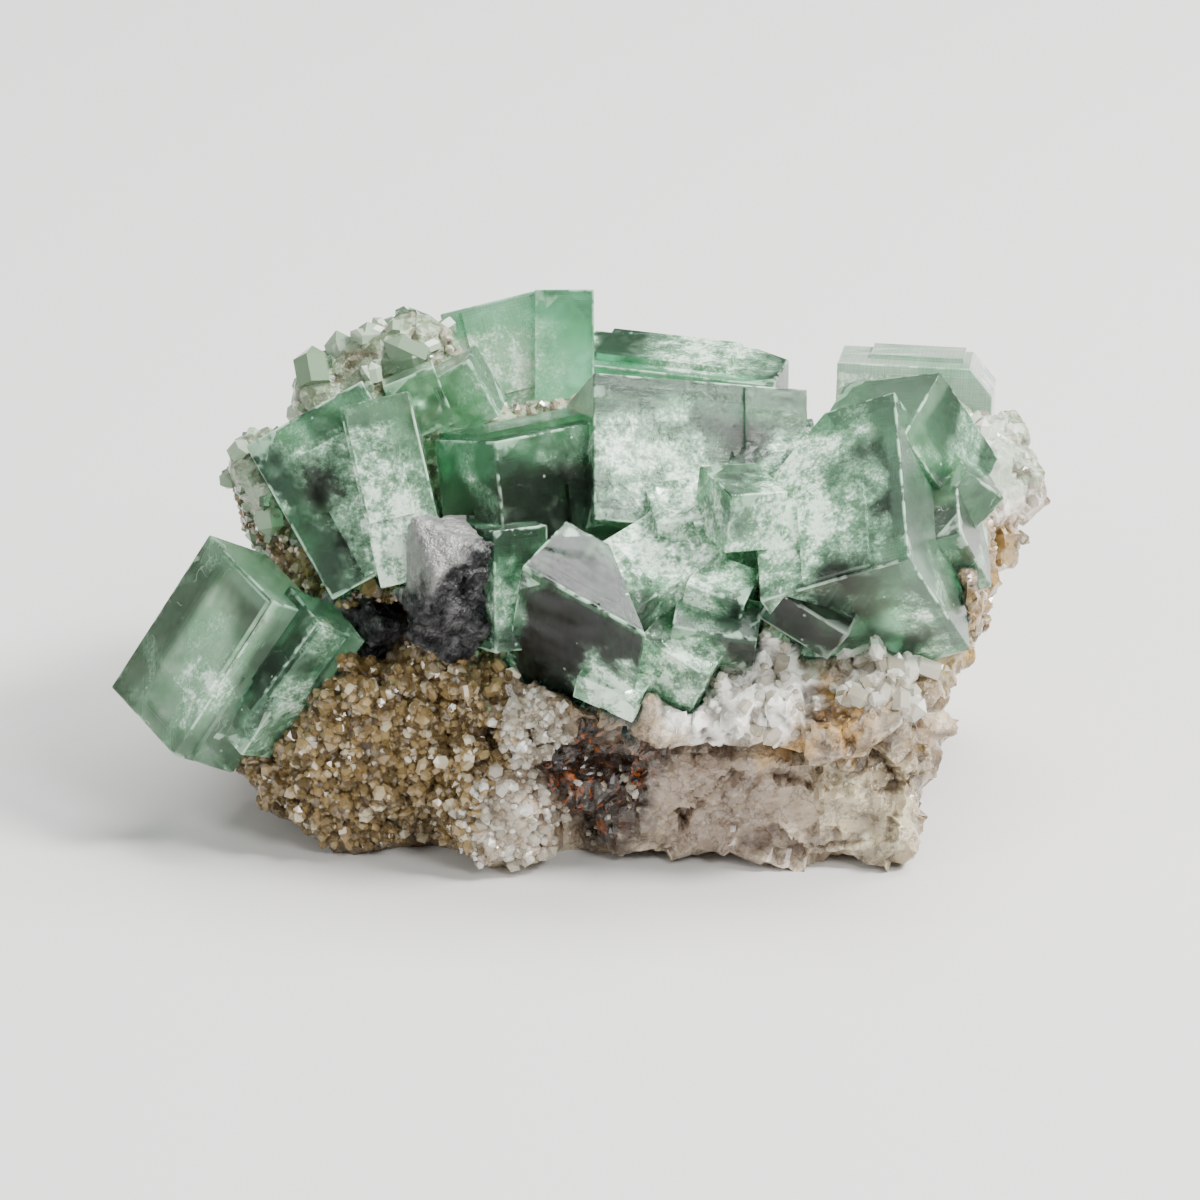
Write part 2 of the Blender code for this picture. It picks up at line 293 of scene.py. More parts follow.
# A crystal's middle and edges are in millimetres and its turns in degrees. clear is the colour
# of its glass, rim the colour next to the faces named in rims (axis, side, depth in mm), veil
# an even milkiness, haze how much of the scattered cloud it takes and broken how far its faces
# are chipped, in mm. A ledge is (axis, side, height, from, to along the next axis, from, to
# along the one after), and a cut (direction, distance).
leafGreen = (0.16, 0.46, 0.27)
deepGreen = (0.08, 0.33, 0.17)
nearBlack = (0.010, 0.018, 0.014)
smoky = (0.085, 0.13, 0.07)
seaGreen = (0.32, 0.64, 0.41)
greyGreen = (0.34, 0.49, 0.36)


def crystal(middle, edges, turn, clear=leafGreen, rim=seaGreen, rims=(), veil=0.2, haze=0.5, broken=0.0,
            ledges=(), cuts=()):
    return dict(middle=np.array(middle), edges=np.array(edges, float), turn=turnMatrix(turn), clear=clear,
                rim=rim, rims=rims, veil=veil, haze=haze, broken=broken, ledges=ledges, cuts=cuts)


leftCrystals = [
    crystal((-23.3, -7.7, 11.9), (5.5, 8.2, 12.3), (17, 29, 43), greyGreen, seaGreen,
            [(2, 1, 1.0)], 0.42, 0.3, 0.0,
            [(0, -1, 0.35, 0.0, 0.72, 0.3, 1.0), (1, -1, 0.3, 0.25, 1.0, 0.0, 0.55)]),
    crystal((-18.4, -9.6, 12.4), (4.5, 4.2, 7.5), (18, 32, 39), leafGreen, seaGreen,
            [(0, 1, 1.2)], 0.2, 0.5, 0.0, [(1, -1, 0.3, 0.0, 0.6, 0.2, 1.0)]),
    crystal((-20.4, -10.4, 8.8), (4.0, 3.5, 4.5), (25, 22, 50), greyGreen, seaGreen, [], 0.5, 0.6),
]
upperLeftCrystals = [
    crystal((-14.8, -4.9, 22.2), (8.6, 9.0, 11.4), (-25, -27, 12), smoky, leafGreen,
            [(0, -1, 2.0), (2, 1, 2.2)], 0.06, 0.8, 0.0, [(1, -1, 0.35, 0.3, 1.0, 0.0, 0.8)]),
    crystal((-11.7, -6.6, 22.9), (4.6, 7.0, 12.0), (-23, -12, 5), seaGreen, seaGreen,
            [(2, 1, 1.5)], 0.22, 0.8, 0.06, [(1, -1, 0.3, 0.0, 0.7, 0.35, 1.0)]),
    crystal((-7.6, 0.5, 27.0), (4.0, 4.0, 4.2), (-4, -30, -5), seaGreen, seaGreen, [], 0.5, 0.5),
    crystal((-10.4, 0.2, 26.6), (3.6, 4.5, 4.0), (-15, -20, 8), seaGreen, leafGreen, [], 0.35, 0.7),
]
mainCrystals = [
    crystal((-0.9, -3.1, 21.6), (16.0, 6.0, 9.0), (-14, 5, 42), smoky, leafGreen,
            [(2, 1, 2.4)], 0.04, 0.7, 0.0,
            [(2, 1, 0.4, 0.0, 1.0, 0.3, 1.0), (1, -1, 0.3, 0.35, 1.0, 0.0, 0.6)]),
    crystal((7.2, -1.9, 22.6), (14.5, 7.0, 10.0), (-37, 9, 12), (0.22, 0.47, 0.28), leafGreen,
            [(2, 1, 2.6)], 0.15, 0.8, 0.04,
            [(1, -1, 0.3, 0.7, 1.0, 0.2, 1.0)]),
    crystal((10.8, -4.8, 19.2), (12.0, 9.0, 10.0), (12, -8, 8), seaGreen, seaGreen, [], 0.25, 0.9, 0.3,
            [(1, -1, 0.4, 0.2, 0.8, 0.3, 1.0)]),
    crystal((18.3, -8.3, 20.0), (10.2, 13.5, 11.0), (34, -21, -11), greyGreen, leafGreen,
            [(0, 1, 0.9), (1, 1, 1.8)], 0.14, 0.7, 0.0,
            [(2, 1, 0.35, 0.3, 0.75, 0.0, 0.5)], [((-0.7, 0.71, 0.0), 4.6)]),
    crystal((21.4, -2.2, 23.9), (8.0, 6.0, 8.0), (28, -18, -38), leafGreen, seaGreen, [(2, 1, 1.0)], 0.2, 0.5),
    crystal((10.5, -10.9, 23.4), (4.0, 5.0, 4.0), (3, 5, 24), seaGreen, seaGreen, [], 0.4, 0.8, 0.05),
    crystal((25.0, -5.0, 22.2), (3.5, 3.5, 3.5), (10, 40, 20), seaGreen, seaGreen, [], 0.3, 0.5),
    crystal((23.5, -6.5, 19.4), (5.0, 5.0, 6.0), (30, -20, -10), greyGreen, seaGreen, [], 0.3, 0.6),
    # this near-black crystal's bright mint rim colour is a painted glint along its faces
    crystal((1.3, -13.9, 16.0), (9.6, 5.2, 10.2), (18, 19, -28), nearBlack, (0.42, 0.82, 0.56),
            [(0, -1, 0.7), (0, 1, 0.35), (2, 1, 0.35)], 0.0, 0.05, 0.0,
            cuts=[((0.65, 0.76, 0.0), 1.0), ((0.72, 0.0, -0.69), 3.3), ((-0.56, 0.0, -0.83), 5.9)]),
    crystal((-4.8, -10.5, 18.0), (4.0, 5.0, 8.0), (-10, 5, 30), leafGreen, seaGreen, [], 0.25, 0.8, 0.1),
    crystal((5.2, -10.6, 18.0), (7.5, 6.0, 6.0), (20, -20, 30), seaGreen, seaGreen, [], 0.4, 1.0, 0.3),
    crystal((6.5, -14.3, 14.2), (5.0, 4.0, 4.0), (15, 25, -20), greyGreen, seaGreen, [], 0.45, 0.9, 0.25),
    crystal((2.4, -15.6, 12.9), (4.3, 2.9, 1.9), (14, 16, -22), seaGreen, seaGreen, [], 1.5, 1.0, 0.7),
    crystal((9.2, -13.0, 18.3), (4.0, 3.5, 3.0), (20, 15, -15), leafGreen, seaGreen, [], 0.1, 0.5),
    crystal((8.9, -14.0, 16.2), (5.5, 3.5, 3.0), (25, 8, -5), smoky, leafGreen, [(2, 1, 0.5)], 0.1, 0.6),
    crystal((14.6, -11.0, 19.3), (3.5, 3.5, 3.5), (20, 20, 20), (0.62, 0.74, 0.45), seaGreen, [], 0.3, 0.4),
    crystal((14.9, -14.2, 17.6), (5.4, 3.0, 3.0), (25, 32, -5), nearBlack, nearBlack, [], 0.0, 0.0,
            ledges=[(2, 1, 0.2, 0.0, 1.0, 0.4, 1.0)]),
]
backCrystals = [
    crystal((-0.9, 14.6, 24.4), (4.0, 7.0, 9.0), (-22, 0, 0), leafGreen, deepGreen, [(2, 1, 2.0)], 0.15, 0.6),
    crystal((-4.8, 14.8, 23.6), (7.0, 6.0, 9.0), (-23, -13, 5), greyGreen, leafGreen, [(2, 1, 2.0), (0, 1, 1.2)], 0.9, 0.8, 0.05,
            [(1, -1, 0.35, 0.2, 1.0, 0.3, 1.0)]),
    crystal((7.1, 13.8, 21.8), (14.0, 6.0, 6.0), (3, 1, -16), deepGreen, deepGreen, [(1, -1, 0.6)], 0.12, 0.7, 0.0,
            [(2, 1, 0.4, 0.1, 0.75, 0.2, 1.0)], [((0.45, 0.89, 0.0), 4.6)]),
]
farRightCrystals = [
    crystal((22.9, 13.0, 21.1), (10.5, 7.0, 7.5), (-10, 1, -6), (0.22, 0.38, 0.26), leafGreen, [(2, 1, 0.7)], 1.2, 0.8, 0.05,
            [(2, 1, 0.3, 0.2, 0.8, 0.3, 1.0)], [((0.75, 0.0, 0.66), 5.2)]),
]
allCrystals = leftCrystals + upperLeftCrystals + mainCrystals + backCrystals + farRightCrystals
crystalMake = dict(worn=0.11, cell=1.9, brokenCell=0.55, wave=0.018, plates=0, plateHeight=0.06,
                   ledgeInset=0.24, wall=0.02)


def gridLines(half, marks, make, cell):
    # fine lines where the edge is rounded, one on each side of every mark, and even ones between
    worn = make["worn"]
    flat = half - worn
    even = np.linspace(-flat, flat, max(3, int(round(2 * flat / cell)) + 1))
    marks = np.array([m + s * make["wall"] for m in marks for s in (-1, 1)])
    even = np.array([e for e in even if not len(marks) or np.abs(marks - e).min() > 3 * make["wall"]
                     or abs(e) == flat])
    rounded = [half - worn * 0.29, half]
    lines = np.concatenate([even, marks, rounded, [-r for r in rounded]])
    return np.unique(np.round(lines, 5))


def crystalSurface(stone, make, chance):
    # six grids on a box: q lies on the box, the edge is rounded by
    # p = clip(q, worn inside) + worn * unit(q - clip(q)), and each flat face is raised by its plates
    half = stone["edges"] / 2.0
    worn = make["worn"]
    plates = []
    for axis, side, height, uLow, uHigh, vLow, vHigh in stone["ledges"]:
        plates.append((axis, side, height, uLow, uHigh, vLow, vHigh))
    for axis in range(3):
        for side in (-1, 1):
            u, v = [a for a in range(3) if a != axis]
            lowest = chance.uniform(0.02, 0.5, 2)
            for plate in range(make["plates"]):
                size = chance.uniform(0.25, 0.6, 2)
                start = np.clip(lowest + chance.uniform(-0.1, 0.2, 2), 0.0, 1.0 - size)
                plates.append((axis, side, make["plateHeight"] * chance.uniform(0.4, 1.0),
                               start[0], start[0] + size[0], start[1], start[1] + size[1]))
    spans = []
    marks = [[], [], []]
    for axis, side, height, uLow, uHigh, vLow, vHigh in plates:
        span = []
        for other, low, high in zip([a for a in range(3) if a != axis], (uLow, vLow), (uHigh, vHigh)):
            edge = 2 * half[other]
            start = max(low * edge, make["ledgeInset"]) - half[other]
            end = min(high * edge, edge - make["ledgeInset"]) - half[other]
            span.append((start, end))
            marks[other] += [start, end]
        spans.append((axis, side, height, span))
    cell = make["brokenCell"] if stone["broken"] > 0.09 else make["cell"]
    lines = [gridLines(half[a], marks[a], make, cell) for a in range(3)]
    vertices, faces, count = [], [], 0
    for axis in range(3):
        u, v = [a for a in range(3) if a != axis]
        for side in (-1, 1):
            gu, gv = np.meshgrid(lines[u], lines[v], indexing="ij")
            q = np.empty(gu.shape + (3,))
            q[..., u], q[..., v], q[..., axis] = gu, gv, side * half[axis]
            inner = np.clip(q, worn - half, half - worn)
            out = q - inner
            p = inner + worn * out / np.linalg.norm(out, axis=-1, keepdims=True)
            rise = np.zeros(gu.shape)
            for plateAxis, plateSide, height, ((u0, u1), (v0, v1)) in spans:
                if (plateAxis, plateSide) == (axis, side):
                    rise += height * ((gu > u0) & (gu < u1) & (gv > v0) & (gv < v1))
            away = np.minimum(half[u] - np.abs(gu), half[v] - np.abs(gv))
            wave = make["wave"] * layeredNoise(p.reshape(-1, 3) + stone["middle"], 2.6, 2, 5).reshape(gu.shape)
            chip = stone["broken"] * chips(p.reshape(-1, 3) + stone["middle"], 1.3, 31).reshape(gu.shape)
            p[..., axis] += side * (rise + (wave + chip) * smoothStep(worn, worn * 6, away))
            rows, columns = gu.shape
            index = count + np.arange(rows * columns).reshape(rows, columns)
            quad = np.stack([index[:-1, :-1], index[1:, :-1], index[1:, 1:], index[:-1, 1:]], -1).reshape(-1, 4)
            turned = (side > 0) == (axis != 1)
            faces.append(quad if turned else quad[:, ::-1])
            vertices.append(p.reshape(-1, 3))
            count += rows * columns
    return np.concatenate(vertices), np.concatenate(faces)


def crystalObject(name, stone, make, chance):
    points, faces = crystalSurface(stone, make, chance)
    piece = meshPiece(name, points, faces)
    mesh = bmesh.new()
    mesh.from_mesh(piece.data)
    bmesh.ops.remove_doubles(mesh, verts=mesh.verts[:], dist=1e-4)
    for facing, distance in stone["cuts"]:
        every = mesh.verts[:] + mesh.edges[:] + mesh.faces[:]
        cut = bmesh.ops.bisect_plane(mesh, geom=every, plane_co=Vector(facing).normalized() * distance,
                                     plane_no=facing, clear_outer=True)
        rim = [item for item in cut["geom_cut"] if isinstance(item, bmesh.types.BMEdge)]
        bmesh.ops.holes_fill(mesh, edges=rim)
    mesh.to_mesh(piece.data)
    mesh.free()
    placed = (coordinates(piece.data) @ stone["turn"].T + stone["middle"]) * mm
    moveTo(piece.data, placed)
    return piece


def grownTogether(name, stones, seed):
    # the crystals of one piece, joined into a single closed surface
    chance = np.random.default_rng(seed)
    pieces = [crystalObject(f"{name}_{n}", stone, crystalMake, chance) for n, stone in enumerate(stones)]
    if len(pieces) > 1:
        others = bpy.data.collections.new(name + "_others")
        for piece in pieces[1:]:
            others.objects.link(piece)
        join = pieces[0].modifiers.new("join", "BOOLEAN")
        join.operation, join.operand_type, join.collection, join.solver = "UNION", "COLLECTION", others, "EXACT"
        applied(pieces[0])
        for piece in pieces[1:]:
            bpy.data.objects.remove(piece)
        bpy.data.collections.remove(others)
    piece = pieces[0]
    piece.name = piece.data.name = name
    return piece


def boxDistance(points, stone):
    # distance to the crystal's box, negative inside: |outside part| + min(largest inside part, 0)
    away = np.abs((points - stone["middle"]) @ stone["turn"]) - stone["edges"] / 2.0
    return np.linalg.norm(np.maximum(away, 0.0), axis=1) + np.minimum(away.max(axis=1), 0.0)


def paintCrystals(piece, stones):
    # every corner takes its values from the crystal whose box face it lies on; depth is how far
    # under the nearest named face it lies, over the rim's depth, edge the distance to the nearest
    # edge, the middle one of the three distances to the faces, and grain runs along the edges
    mesh = piece.data
    points = coordinates(mesh) / mm
    corners = np.empty(len(mesh.loops), np.int32)
    mesh.loops.foreach_get("vertex_index", corners)
    totals = np.empty(len(mesh.polygons), np.int32)
    middles = np.empty(len(mesh.polygons) * 3, np.float32)
    mesh.polygons.foreach_get("loop_total", totals)
    mesh.polygons.foreach_get("center", middles)
    middles = middles.reshape(-1, 3) / mm
    owner = np.repeat(np.argmin([np.abs(boxDistance(middles, stone)) for stone in stones], axis=0), totals)
    clear, rim = (np.ones((len(corners), 4), np.float32) for i in range(2))
    depth, edge, veil, haze = (np.full(len(corners), 9.0, np.float32) for i in range(4))
    grain = np.zeros((len(corners), 3), np.float32)
    for number, stone in enumerate(stones):
        mine = owner == number
        local = (points[corners[mine]] - stone["middle"]) @ stone["turn"]
        under = np.full(len(local), 9.0)
        for axis, side, deep in stone["rims"]:
            under = np.minimum(under, (stone["edges"][axis] / 2.0 - side * local[:, axis]) / deep)
        clear[mine, :3], rim[mine, :3] = stone["clear"], stone["rim"]
        depth[mine], veil[mine], haze[mine] = under, stone["veil"], stone["haze"]
        edge[mine] = np.sort(stone["edges"] / 2.0 - np.abs(local), axis=1)[:, 1]
        grain[mine] = local + number * 7.3
    for name, kind, field, numbers in (
            ("clear", "FLOAT_COLOR", "color", clear), ("rim", "FLOAT_COLOR", "color", rim),
            ("grain", "FLOAT_VECTOR", "vector", grain), ("depth", "FLOAT", "value", depth),
            ("edge", "FLOAT", "value", edge), ("veil", "FLOAT", "value", veil), ("haze", "FLOAT", "value", haze)):
        mesh.attributes.new(name, kind, "CORNER").data.foreach_set(field, numbers.ravel())
    return piece


# clouds inside the glass, and spots of painted shade where the glass is darkened as if seen through to dark depths:
# (x, y, z, reach in mm, strength)
clouds = [
    (-24.7, -12.0, 11.1, 2.8, 1.0), (-23.4, -10.9, 14.2, 3.0, 0.4), (-15.9, -11.7, 14.6, 2.4, 0.6),
    (-18.0, -11.6, 10.3, 2.8, 0.7), (-14.0, -8.7, 27.9, 4.2, 0.6), (-12.6, -10.4, 24.0, 4.4, 1.0),
    (-11.8, -12.1, 19.2, 4.2, 1.0), (-18.9, -9.6, 22.6, 1.3, 1.0), (3.2, -5.8, 25.4, 4.4, 0.8),
    (4.5, -11.3, 21.0, 4.6, 1.0), (8.4, -11.3, 21.3, 5.0, 1.0), (7.3, -6.5, 23.8, 4.2, 0.8),
    (14.3, -12.2, 23.0, 5.0, 1.0), (14.4, -7.7, 25.7, 4.0, 1.0), (17.2, -6.7, 27.2, 3.2, 0.7),
    (18.4, -15.1, 22.8, 3.0, 0.5), (22.4, -13.4, 18.6, 3.4, 0.8), (22.6, -8.0, 25.0, 2.6, 0.5), (1.9, -17.4, 12.9, 3.2, 1.3),
    (-5.6, 11.6, 24.4, 5.5, 0.9), (8.6, 13.9, 25.2, 5.5, 0.9), (19.7, 10.5, 24.0, 4.5, 0.9), (25.0, 14.0, 22.0, 5.0, 0.8), (20.0, 15.5, 20.0, 4.5, 0.7),
    (7.3, -14.3, 18.4, 3.0, 0.9), (-5.2, -13.1, 17.9, 2.8, 0.8), (7.0, -15.5, 14.5, 3.0, 1.0)]
shadeSpots = [
    (19.2, -9.5, 25.0, 2.6, 0.75), (21.0, -13.0, 21.5, 2.4, 0.7),
    (-16.6, -9.3, 24.0, 2.0, 1.0), (-15.2, -11.0, 19.4, 2.0, 0.9), (-3.0, -8.6, 23.4, 3.0, 1.0),
    (0.4, -5.8, 23.2, 2.6, 1.0), (-6.2, -9.0, 22.0, 2.0, 0.7), (10.6, -2.9, 25.6, 2.6, 0.8),
    (7.9, -9.6, 25.5, 1.2, 0.6), (17.8, -10.1, 25.7, 2.2, 0.55), (17.6, -16.4, 19.2, 3.8, 1.2),
    (23.0, -7.3, 22.5, 2.0, 0.7), (-19.9, -11.4, 12.6, 1.8, 0.7), (-1.2, 11.8, 23.5, 1.8, 0.6)]
# the near-black colour in this look is the colour of the painted shade in the glass
fluoriteLook = dict(mint=(0.33, 0.62, 0.40), milk=(0.72, 0.89, 0.74), paintedShade=(0.03, 0.032, 0.022),
                    zone=(0.42, 0.60, 0.47), wisp=1.5, veil=0.24, rimVeil=0.13, glint=0.75, crack=0.4,
                    shell=(-0.6, -15.6, 22.2))


def zones(tree, at, places):
    # the strongest of the balls: strength * (1 at the middle, 0 at the reach)
    share = None
    for x, y, z, reach, strength in places:
        away = tree.value("ShaderNodeVectorMath", {"operation": "DISTANCE"}, {0: at, 1: (x, y, z)}, "Value")
        ball = away.rise(reach * 1.15, reach * 0.35) * strength
        share = ball if share is None else share.atLeast(ball)
    return share


def fluoriteMaterial(name, look, frost=0.0):
    # clear tinted glass and white haze, mixed by the clouds broken up into wisps
    tree = Tree(name)
    sway = tree.add("ShaderNodeTexNoise", {}, {
        "Vector": tree.millimetres, "Scale": 0.45, "Detail": 4.0, "Roughness": 0.62})
    swayed = tree.add("ShaderNodeVectorMath", {"operation": "SCALE"}, {
        0: tree.add("ShaderNodeVectorMath", {"operation": "SUBTRACT"}, {
            0: sway.outputs["Color"], 1: (0.5, 0.5, 0.5)}).outputs[0], "Scale": 5.0}).outputs[0]
    at = tree.add("ShaderNodeVectorMath", {"operation": "ADD"}, {0: tree.millimetres, 1: swayed}).outputs[0]
    wisps = tree.noise(look["wisp"], 5.0, 0.7)
    fleck = tree.noise(0.28, 2.0, 0.75)
    patches = tree.noise(4.5, 2.0, 0.5)
    depth = tree.attribute("depth")
    rimShare = (depth + (patches - 0.5) * 0.9).rise(1.25, 0.7)
    # painted shade: the glass darkened inside the shade spots, less near the rims, and its cloud thinned there
    paintedShade = (zones(tree, at, shadeSpots) * (0.35 + patches * 1.3)).clamped() * (1.0 - rimShare * 0.8)
    tint = tree.mix(rimShare, tree.attribute("clear", "Color").socket, tree.attribute("rim", "Color").socket)
    tint = tree.mix(tree.noise(3.2, 3.0, 0.66).rise(0.4, 0.6), tint, look["zone"], "MULTIPLY")
    tint = tree.mix(paintedShade, tint, look["paintedShade"])
    cloud = zones(tree, at, clouds).atLeast(tree.attribute("haze") * patches.rise(0.5, 0.68))
    cloud = cloud * (1.0 - rimShare * 0.55) * (1.0 - paintedShade * 0.75)
    specks = tree.cells(1.6, random=1.0).rise(0.09, 0.04) * 0.6
    cotton = wisps.rise(0.32, 0.68)
    amount = cloud * (0.26 + cotton * 0.75 + (cotton + 0.25) * fleck.rise(0.42, 0.66) * 0.6)
    grain = tree.attribute("grain", "Vector").socket
    lines = None
    for axis in "XYZ":
        place = tree.axis(axis, grain)
        line = tree.value("ShaderNodeTexNoise", {"noise_dimensions": "1D"}, {"W": place * 2.2, "Detail": 5.0})
        lines = line if lines is None else lines + line
    streaks = lines.rise(1.32, 1.72)
    milky = tree.attribute("veil")
    veil = (milky * look["veil"] * (0.5 + patches) + rimShare * (milky * 5.0).clamped() * look["rimVeil"])
    veil = veil * (0.8 + streaks * 0.4) + frost
    along = tree.axis("X", grain) + tree.axis("Y", grain) - tree.axis("Z", grain)
    cleaved = tree.value("ShaderNodeTexNoise", {"noise_dimensions": "1D"}, {"W": along * 0.9, "Detail": 2.0})
    healed = tree.noise(3.0, 2.0, 0.5, at=grain)
    cracks = (cleaved - 0.5).size().rise(0.012, 0.004) * patches.rise(0.56, 0.62)
    cracks = cracks.atLeast((healed - 0.5).size().rise(0.008, 0.002) * wisps.rise(0.48, 0.58)) * look["crack"] * (0.15 + milky * 3.0).clamped()
    # painted glint: bright white lines along the crystal edges, broken up by noise and mixed into the cloudy white
    glint = tree.attribute("edge").rise(0.24, 0.06) * tree.noise(1.4, 2.0, 0.6).rise(0.42, 0.58) * look["glint"]
    amount = amount.atLeast(specks).atLeast(veil).atLeast(cracks).atLeast(glint)
    bump = tree.bump(lines, 0.012)
    bent = tree.add("ShaderNodeVectorMath", {"operation": "MULTIPLY_ADD"}, {
        0: tree.add("ShaderNodeTexNoise", {}, {"Vector": tree.millimetres, "Scale": 0.45, "Detail": 1.0}).outputs["Color"],
        1: (1.6, 1.6, 1.6), 2: tree.millimetres}).outputs[0]
    ring = tree.value("ShaderNodeVectorMath", {"operation": "DISTANCE"}, {0: bent, 1: look["shell"]}, "Value")
    rings = tree.value("ShaderNodeMath", {"operation": "SINE"}, {0: ring * 2.6}) * ring.rise(6.5, 4.0)
    bump = tree.bump(rings, 0.035, bump)
    glassRough = patches.rise(0.5, 0.75) * 0.03 + 0.006
    clear = tree.principled(Base_Color=tint, Transmission_Weight=1.0, IOR=1.434, Roughness=glassRough, Normal=bump)
    body = tree.mix(0.4, tint, look["milk"])
    white = tree.mix(amount.rise(0.35, 1.0), look["mint"], look["milk"])
    cloudy = tree.principled(Base_Color=tree.mix(cloud.rise(0.0, 0.4), body, white), Roughness=0.35, IOR=1.434,
                             Coat_Weight=0.7, Coat_Roughness=0.04, Normal=tree.bump(fleck, 0.04, bump))
    both = tree.add("ShaderNodeMixShader", {}, {0: amount.clamped(), 1: clear, 2: cloudy})
    return tree.finish(both.outputs[0])


print("growing the crystals")
fluorite = fluoriteMaterial("fluorite", fluoriteLook)
frosted = fluoriteMaterial("frosted fluorite", {**fluoriteLook, "mint": (0.50, 0.60, 0.50)}, 0.14)
crystalPieces = {}
for node, stones, seed, material in (
        ("fluorite_left", leftCrystals, 5, fluorite), ("fluorite_upper_left", upperLeftCrystals, 6, fluorite),
        ("fluorite_main", mainCrystals, 7, fluorite), ("fluorite_back", backCrystals, 8, fluorite),
        ("fluorite_far_right", farRightCrystals, 9, frosted)):
    piece = paintCrystals(grownTogether("crystals_" + node[9:], stones, seed), stones)
    piece.data.materials.append(material)
    crystalPieces[node] = piece


# the quartz rock

rockMake = dict(grow=0.38, voxel=0.33, chip=3.6, chipDepth=1.0, small=1.1, smallDepth=0.28, fine=0.035,
                crackStart=(0.5, 9.9), crackEnd=(15.0, 8.2), crackDepth=2.2, crackWide=0.42)


def nodeCopy(node, name):
    # a copy of a CAD node's mesh, its loose triangles merged
    mesh = nodes[node].data.copy()
    mesh.name = name
    work = bmesh.new()
    work.from_mesh(mesh)
    bmesh.ops.remove_doubles(work, verts=work.verts[:], dist=1e-6)
    work.to_mesh(mesh)
    work.free()
    mesh.materials.clear()
    piece = bpy.data.objects.new(name, mesh)
    parts.objects.link(piece)
    return piece


def voxelled(piece, size):
    remesh = piece.modifiers.new("voxels", "REMESH")
    remesh.mode, remesh.voxel_size = "VOXEL", size * mm
    return applied(piece)


def smoothedNormals(mesh, rounds):
    # each normal becomes the mean of itself and its neighbours', as many times as asked
    ends = np.empty(len(mesh.edges) * 2, np.int32)
    mesh.edges.foreach_get("vertices", ends)
    first, second = ends.reshape(-1, 2).T
    facing = normals(mesh)
    for turn in range(rounds):
        total = facing.copy()
        for axis in range(3):
            total[:, axis] += np.bincount(first, facing[second, axis], len(facing))
            total[:, axis] += np.bincount(second, facing[first, axis], len(facing))
        facing = total / (np.linalg.norm(total, axis=1)[:, None] + 1e-9)
    return facing


def rockPiece(make):
    # each point moves along its normal by grow + chips + finer chips + grain, the flat base stays flat
    piece = nodeCopy("matrix", "rock")
    voxelled(piece, make["voxel"])
    points = coordinates(piece.data) / mm
    facing = smoothedNormals(piece.data, 24)
    sugary = smoothStep(-6.5, -9.0, points[:, 0])
    large, small = chips(points, make["chip"], 3), chips(points, make["small"], 9)
    out = make["grow"] + make["chipDepth"] * large * (1.0 - 0.8 * sugary)
    out += make["smallDepth"] * small * (1.0 - 0.6 * sugary)
    out += make["fine"] * layeredNoise(points, 0.6, 2, 4)
    (x0, z0), (x1, z1) = make["crackStart"], make["crackEnd"]
    line = z0 + (points[:, 0] - x0) * (z1 - z0) / (x1 - x0) + 0.7 * layeredNoise(points, 3.0, 3, 14)
    crack = np.exp(-((points[:, 2] - line) / make["crackWide"]) ** 2) * (points[:, 1] < -9.0)
    crack *= smoothStep(x0 - 1.0, x0 + 1.0, points[:, 0]) * smoothStep(x1 + 1.0, x1 - 2.0, points[:, 0])
    out -= make["crackDepth"] * crack
    foot = smoothStep(0.0, 1.2, points[:, 2])
    points = points + facing * (out * (0.15 + 0.85 * foot))[:, None]
    points[:, 2] = np.where(points[:, 2] < 0.25, 0.0, points[:, 2])
    moveTo(piece.data, points * mm)
    # how near each point lies to a crystal; the material paints shade where the rock meets and runs under them
    inside = np.min([boxDistance(points, stone) for stone in allCrystals], axis=0)
    under = smoothStep(0.55, 0.1, inside).astype(np.float32)
    piece.data.attributes.new("under", "FLOAT", "POINT").data.foreach_set("value", under)
    piece.data.attributes.new("crack", "FLOAT", "POINT").data.foreach_set("value", crack.astype(np.float32))
    # how high the chips stand; the material paints shade into the low ones
    raised = (large * 0.6 + small * 0.6).astype(np.float32)
    piece.data.attributes.new("raised", "FLOAT", "POINT").data.foreach_set("value", raised)
    return piece
